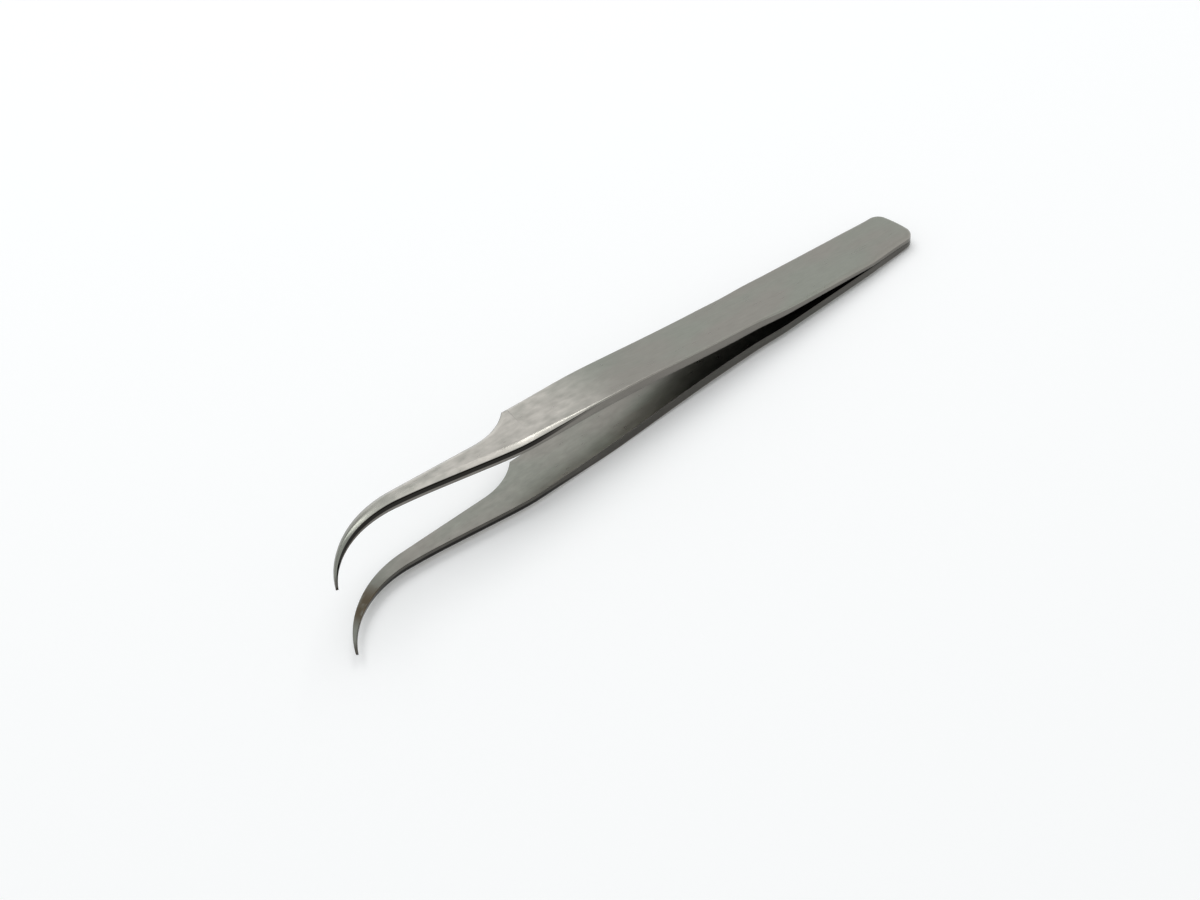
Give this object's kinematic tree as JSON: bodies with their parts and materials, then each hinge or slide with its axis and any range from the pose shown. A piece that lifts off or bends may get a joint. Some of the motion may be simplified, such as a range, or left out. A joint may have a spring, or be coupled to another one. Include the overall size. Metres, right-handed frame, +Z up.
{
  "type": "eyelash extension tweezers",
  "caption": "Spring tweezers with slim, hooked, fine tips, made of two stamped steel arms welded face to face at the heel, lying on their side.",
  "frame": {"origin": "on the surface the tweezers lie on, below the centre of their bounding box", "axes": "+X along the tweezers from heel to tips, +Y towards the side the tips hook to, +Z up"},
  "size_m": [0.1204, 0.0154, 0.0153],
  "materials": {
    "satin_steel": "satin"
  },
  "bodies": {
    "root": {"upper_arm": "satin_steel", "lower_arm": "satin_steel"}
  },
  "joints": []
}
